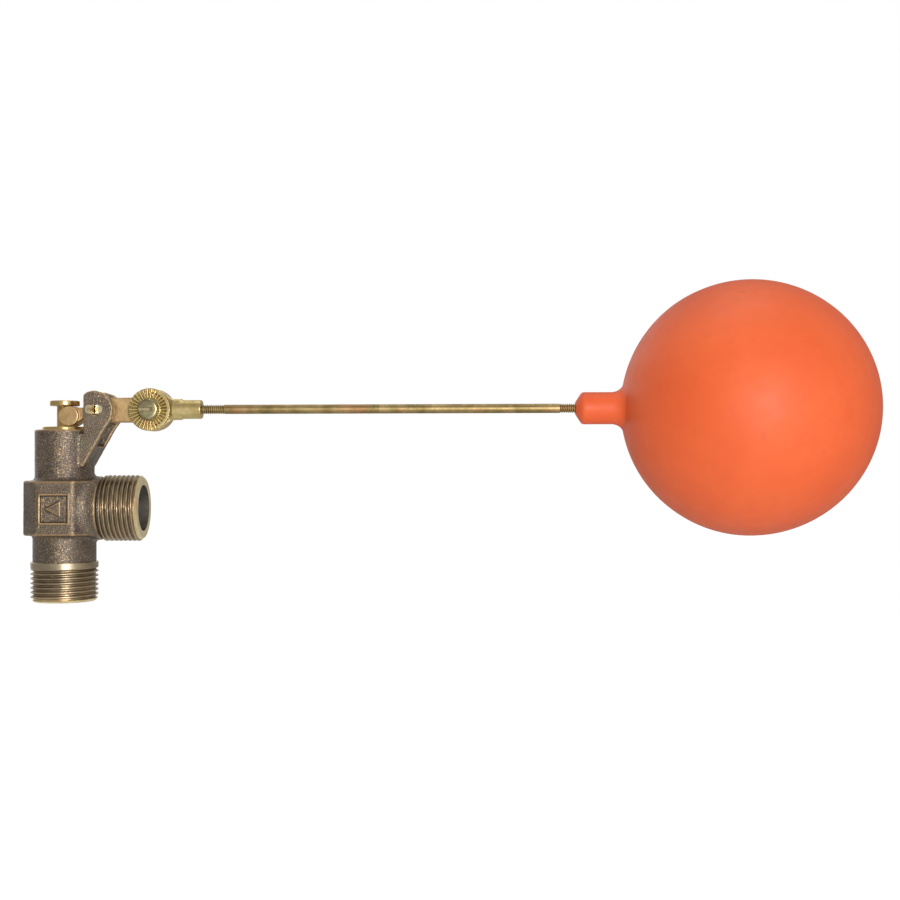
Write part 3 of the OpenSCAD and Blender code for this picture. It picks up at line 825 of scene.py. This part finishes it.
def arm_socket(x, y, z):
    disc_r = np.hypot(x - JOINT_X, z - JOINT_Z)
    core = edged(disc_r - DISC_R, between(y, ARM_FRONT + TOOTH_H, ARM_REAR - TOOTH_H), 0.4)
    ring = np.maximum(disc_r - RING_OUT, between(y, ARM_FRONT, ARM_REAR))
    rise = TOOTH_H * np.where(disc_r < RING_IN, 1, tooth_wave(x, z))
    rim = np.clip((x - JOINT_X - 1) / 3, 0, 1) * np.clip((disc_r - 8.2) / 0.6, 0, 1)
    ring = np.maximum(ring, np.maximum(ARM_FRONT + rise * (1 - rim) - y, y - ARM_REAR + rise) * 0.8)
    socket_low = JOINT_X + DISC_R + 0.6
    socket = round_bar(y - ARM_Y, z - JOINT_Z, SOCKET_R, x, socket_low, SOCKET_END, 0.7)
    reach = np.clip((x - JOINT_X - 4) / 9, 0, 1)
    half_h = 9.2 + (SOCKET_R - 9.2) * reach * reach * (3 - 2 * reach)
    web = np.maximum(np.abs(z - JOINT_Z) - half_h, between(x, JOINT_X + 4, socket_low + 4)) * 0.8
    web = edged(web, between(y, ARM_FRONT, ARM_REAR), 0.8)
    cleared = np.minimum(disc_r - DISC_R + 0.2, 0)
    web = np.maximum(web, -np.maximum(cleared, between(y, ARM_FRONT + TOOTH_H, ARM_REAR - TOOTH_H) * -1))
    body = fillet(web, socket, 1.6)
    body = np.maximum(body, -np.maximum(disc_r - DISC_R - 0.25, ARM_REAR - 0.02 - y))
    d = np.minimum(np.minimum(core, ring), body)
    d = carve(d, disc_r - 3.05, 0.2)
    return carve(d, np.maximum(np.hypot(y - ARM_Y, z - JOINT_Z) - ROD_R - 0.1, JOINT_X + 14 - x), 0.5)


def joint_screw(x, y, z):
    r = np.hypot(x - JOINT_X, z - JOINT_Z)
    head_low, head_high = SCREW_LOW[1], ARM_FRONT + TOOTH_H - 0.1
    head = edged(edged(r - 5.2, head_low - y, 1.3), y - head_high, 0.25)
    angle = np.arctan2(x - JOINT_X, z - JOINT_Z)
    shank_r = thread_radius(3.0, 0.55, 1.0, y, angle)
    shank = np.maximum(r - shank_r, between(y, head_high - 0.5, SCREW_HIGH[1])) * 0.7
    d = np.minimum(head, edged(shank, y - SCREW_HIGH[1], 0.4))
    slot_floor = head_low + 2.2 * np.clip((JOINT_X + 2.6 - x) / 2.2, 0, 1)
    return carve(d, np.maximum(np.abs(z - JOINT_Z) - 0.8, y - slot_floor), 0.25)


def joint_nut(x, y, z):
    u, w = np.abs(x - JOINT_X), np.abs(z - JOINT_Z)
    flats = (NUT_HIGH[2] - NUT_LOW[2]) / 2
    hexagon = np.maximum(w, u * math.sqrt(3) / 2 + w / 2) - flats
    bevel = (np.hypot(u, w) - flats * 1.08 + (np.abs(y - (NUT_LOW[1] + NUT_HIGH[1]) / 2) - 2.2) * 1.6) * 0.5
    d = edged(edged(hexagon, between(y, NUT_LOW[1], NUT_HIGH[1]), 0.2), bevel, 0.2)
    return carve(d, np.hypot(u, w) - 3.05, 0.3)


def spring_washer(x, y, z):
    low, high = node_box("joint_spring_washer")
    r = np.hypot(x - JOINT_X, z - JOINT_Z)
    turn = np.arctan2(x - JOINT_X, z - JOINT_Z) / (2 * math.pi)
    thick, rise = (high[1] - low[1]) * 0.8, (high[1] - low[1]) * 0.2
    middle = (low[1] + high[1]) / 2 + turn * rise
    ring = edged(np.maximum(r - 5.3, 3.1 - r), np.abs(y - middle) - thick / 2, 0.2)
    return np.maximum(ring, -np.maximum(np.abs(x - JOINT_X + (y - middle) * 0.5) - 0.35, JOINT_Z - z))


def lever_group():
    net_piece("lever_look", lever, LEVER_LOW, LEVER_HIGH, 0.25, "lever_arm",
              ["lever"], LEVER, lumps=[(5, 0.1), (1.2, 0.05)])
    screw = net_piece("joint_screw_look", joint_screw, SCREW_LOW, SCREW_HIGH, 0.16, "lever_arm",
                      ["joint_screw"], SCREW)
    # Painted highlight: the faces inside the screw's slot get the bright pin brass.
    paint(screw, PIN, lambda x, y, z: abs(z - JOINT_Z) < 0.85 and SCREW_LOW[1] + 0.4 < y < SCREW_LOW[1] + 2.6
          and math.hypot(x - JOINT_X, z - JOINT_Z) < 5)
    net_piece("joint_nut_look", joint_nut, NUT_LOW, NUT_HIGH, 0.18, "lever_arm",
              ["joint_nut"], TURNED, sharp=40)
    low, high = node_box("joint_spring_washer")
    net_piece("joint_spring_washer_look", spring_washer, low, high, 0.16, "lever_arm",
              ["joint_spring_washer"], SCREW, sharp=40)


# ---- Split pin ----


def half_round_sweep(path, radius, outward):
    """A half-round wire along a flat path in X and Y, its round side on the outward side."""
    path = np.asarray(path, float)
    run = np.gradient(path, axis=0)
    run /= np.linalg.norm(run, axis=1)[:, None]
    side = np.stack([-run[:, 1], run[:, 0]], axis=1) * outward
    arc = np.linspace(-math.pi / 2, math.pi / 2, 13)
    flat = np.linspace(1, -1, 6)[1:-1]
    section = [(math.cos(a), math.sin(a)) for a in arc] + [(0.0, f) for f in flat]
    verts = [
        (px + sx * radius * out, py + sy * radius * out, radius * up)
        for (px, py), (sx, sy) in zip(path, side) for out, up in section]
    n = len(section)
    faces = [[i * n + k, i * n + (k + 1) % n, (i + 1) * n + (k + 1) % n, (i + 1) * n + k]
             for i in range(len(path) - 1) for k in range(n)]
    faces += [list(range(n))[::-1], [(len(path) - 1) * n + k for k in range(n)]]
    return np.array(verts), faces


def arc_points(cx, cy, r, start, end, count):
    return [(cx + r * math.cos(a), cy + r * math.sin(a)) for a in np.linspace(start, end, count)]


def split_pin():
    """One half-round wire: up one leg, round the eye and back down the other leg."""
    low, high = node_box("fulcrum_split_pin")
    ear_face, radius, spread = EAR_HALF_W, PIN_R - 0.05, math.radians(40)
    bend_r, gap = 2.2, 0.12
    eye_r = 2.1
    eye_y = high[1] - eye_r - radius * 0.82
    tip = 3.2

    def leg(side):
        cx, cy = side * (gap + bend_r), -ear_face + 0.5
        start = math.pi if side > 0 else 0
        turn = arc_points(cx, cy, bend_r, start, start + side * spread, 7)
        dx, dy = side * math.sin(spread), -math.cos(spread)
        end = (turn[-1][0] + dx * tip, turn[-1][1] + dy * tip)
        return turn + [end]

    neck = math.asin(min(1, gap / eye_r)) + 0.55
    eye = arc_points(0, eye_y, eye_r, -math.pi / 2 - neck, -5 * math.pi / 2 + neck, 29)
    path = leg(-1)[::-1] + [(-gap, y) for y in np.linspace(-ear_face + 1, ear_face - 0.6, 12)] + eye
    path += [(gap, y) for y in np.linspace(ear_face - 0.6, -ear_face + 1, 12)] + leg(1)
    verts, faces = half_round_sweep(path, radius * 0.97, 1)
    verts += np.array([PIVOT_X, 0, PIVOT_Z])
    make_piece("fulcrum_split_pin_look", verts, faces, "valve", ["fulcrum_split_pin"],
               PIN, sharp=50)


# ---- Float arm ----


def rod():
    low, high = ROD_LOW[0], ROD_HIGH[0]
    left_end, right_start = SOCKET_END + 11.5, NECK_START - 8

    def change(r, s, angle):
        thread = thread_radius(ROD_R, 0.52, 1.058, s, angle)
        x = low + s
        shown = np.clip((left_end - x) / 0.8, 0, 1) + np.clip((x - right_start) / 0.8, 0, 1)
        return np.minimum(r, ROD_R - (ROD_R - thread) * np.clip(shown, 0, 1))

    outline = [(0, 0), (ROD_R, 0), (ROD_R, left_end - low + 1), (ROD_R - 0.001, right_start - low - 1),
               (ROD_R, high - low), (0, high - low)]
    half = len(outline) // 2
    smooth = rounded(outline, 0.3)
    fine = []
    for a, b in zip(smooth, smooth[1:] + smooth[:1]):
        fine.append(a)
        threaded = min(a[0], b[0]) > ROD_R * 0.8 and not left_end + 0.5 < low + (a[1] + b[1]) / 2 < right_start
        parts = math.ceil(abs(b[1] - a[1]) / 0.13) if threaded else 8
        if min(a[0], b[0]) > ROD_R * 0.8:
            fine += [np.add(a, np.subtract(b, a) * t / parts) for t in range(1, parts)]
    verts, faces = tidy_verts(*revolve(fine, along("x", (low, ARM_Y, JOINT_Z)), 40, change))
    make_piece("float_rod_look", verts, faces, "float_arm", ["float_rod"], ROD, sharp=60)


def float_profile():
    """Outer half section of the float, from the insert's hole round to the ball's far pole."""
    neck_r, blend, insert_hole_r, insert_end, hole_r = 8.0, 6.0, 5.55, 21, 2.63
    lip_r, lip_end = 3.0, INSERT_START - NECK_START
    skin = BALL_R - 0.12
    centre_x = BALL_X - NECK_START
    reach = math.sqrt((skin + blend) ** 2 - (neck_r + blend) ** 2)
    fillet_x = centre_x - reach
    meet = math.atan2(neck_r + blend, reach)
    rim = [(insert_hole_r, insert_end), (insert_hole_r, lip_end), (hole_r, lip_end), (hole_r, 0.2),
           (lip_r - 0.2, 0), (lip_r + 0.3, 0.15), (neck_r - 0.8, lip_end - 0.6),
           (neck_r - 0.2, lip_end + 0.1), (neck_r, lip_end + 0.9)]
    throat = [(neck_r + blend - blend * math.cos(a), fillet_x + blend * math.sin(a))
              for a in np.linspace(0, math.pi / 2 - meet, 10)]
    ball = [(skin * math.sin(a), centre_x - skin * math.cos(a))
            for a in np.linspace(meet, math.pi, 110)]
    ball[-1] = (0, centre_x + skin)
    steps = [(neck_r, s) for s in np.linspace(lip_end + 0.9, fillet_x, 12)[1:-1]]
    return [(0, insert_end)] + rim + steps + throat + ball


def float_ball():
    profile = float_profile()
    place = along("x", (NECK_START, ARM_Y, JOINT_Z))

    def change(r, s, angle):
        off_seam = np.abs(np.cos(angle)) * r  # distance from the mould's parting plane
        seam = 0.1 * np.exp(-(off_seam / 0.5) ** 2)
        return np.where(r > 8.05, r + seam, r)

    verts, faces = tidy_verts(*revolve(profile[::-1], place, 256, change))
    verts = np.array(verts)
    make_piece("float_shell_look", verts, [f[::-1] for f in faces], "float_arm",
               ["float_shell"], ORANGE, sharp=60)
    length, depth, radius = INSERT_HIGH[0] - INSERT_START, 14, 5.5
    insert = [(ROD_R + 0.05, 0), (radius, 0), (radius, length), (0, length), (0, depth),
              (ROD_R + 0.05, depth)]
    turned_piece("float_insert_look", insert, "x", (INSERT_START, ARM_Y, JOINT_Z), "float_arm",
                 ["float_insert"], TURNED, edge=0.3)


def float_group():
    net_piece("arm_socket_look", arm_socket, ARM_LOW, ARM_HIGH, 0.17, "float_arm",
              ["arm_socket"], JOINT, lumps=[(4, 0.06)])
    rod()
    float_ball()


# ---- Stage ----


def camera_only(tree, seen, unseen):
    """A shader or value that the camera sees as one thing and light bounces see as another."""
    path = tree.nodes.new("ShaderNodeLightPath")
    mix = tree.nodes.new("ShaderNodeMixShader")
    tree.links.new(path.outputs["Is Camera Ray"], mix.inputs[0])
    tree.links.new(unseen, mix.inputs[1])
    tree.links.new(seen, mix.inputs[2])
    return mix.outputs[0]


def floor():
    """A pale floor, bright enough to look almost white, with a faint soft shadow."""
    material = bpy.data.materials.new("floor")
    material.use_nodes = True
    tree = material.node_tree
    shader = tree.nodes["Principled BSDF"]
    shader.inputs["Base Color"].default_value = (0.75, 0.75, 0.75, 1)
    shader.inputs["Roughness"].default_value = 0.9
    glow = tree.nodes.new("ShaderNodeEmission")
    glow.inputs["Strength"].default_value = 0.66
    both = tree.nodes.new("ShaderNodeAddShader")
    tree.links.new(shader.outputs[0], both.inputs[0])
    tree.links.new(glow.outputs[0], both.inputs[1])
    shown = camera_only(tree, both.outputs[0], shader.outputs[0])
    tree.links.new(shown, tree.nodes["Material Output"].inputs[0])
    bpy.ops.mesh.primitive_plane_add(size=30, location=(0.2, 0, -0.32))
    plane = bpy.context.object
    plane.name = "floor"
    plane.data.materials.append(material)


def lamp(name, place, aim, size, power):
    data = bpy.data.lights.new(name, "AREA")
    data.shape = "RECTANGLE"
    data.size, data.size_y = size
    data.energy = power
    light = bpy.data.objects.new(name, data)
    bpy.context.scene.collection.objects.link(light)
    light.location = place
    light.rotation_euler = (Vector(aim) - Vector(place)).to_track_quat("-Z", "Y").to_euler()


def world():
    """A white sky for the camera that lights the object more dimly."""
    sky = bpy.data.worlds.new("studio")
    bpy.context.scene.world = sky
    sky.use_nodes = True
    tree = sky.node_tree
    white, dim = tree.nodes["Background"], tree.nodes.new("ShaderNodeBackground")
    white.inputs["Color"].default_value = (1, 1, 1, 1)
    dim.inputs["Color"].default_value = (1, 1, 1, 1)
    dim.inputs["Strength"].default_value = 0.48
    shown = camera_only(tree, white.outputs[0], dim.outputs[0])
    tree.links.new(shown, tree.nodes["World Output"].inputs[0])


def camera():
    """Set nearly square to the float's arm, between the valve and the ball."""
    data = bpy.data.cameras.new("camera")
    data.sensor_width = 36
    data.lens = 54.5
    data.clip_start, data.clip_end = 0.01, 50
    view = bpy.data.objects.new("camera", data)
    bpy.context.scene.collection.objects.link(view)
    view.location = (0.2085, -0.6856, 0.0667)
    view.rotation_euler = [math.radians(a) for a in (90.75, 0.13, 1.13)]
    bpy.context.scene.camera = view


def studio():
    floor()
    world()
    lamp("key", (0.40, -1.04, 0.12), (0.18, 0, 0.07), (0.2, 0.34), 8.5)
    lamp("fill", (0.9, -0.8, 0.3), (0.34, 0, 0.09), (0.5, 0.6), 0.5)
    lamp("top", (0.2, 0.1, 1.1), (0.2, 0, 0.1), (0.8, 0.5), 2.5)
    lamp("rear", (-0.5, 1.0, 0.5), (0.1, 0, 0.07), (1.2, 1.2), 4)
    camera()
    bpy.context.scene.view_settings.view_transform = "Standard"


valve_body()
seat()
piston()
lever_group()
split_pin()
float_group()
studio()
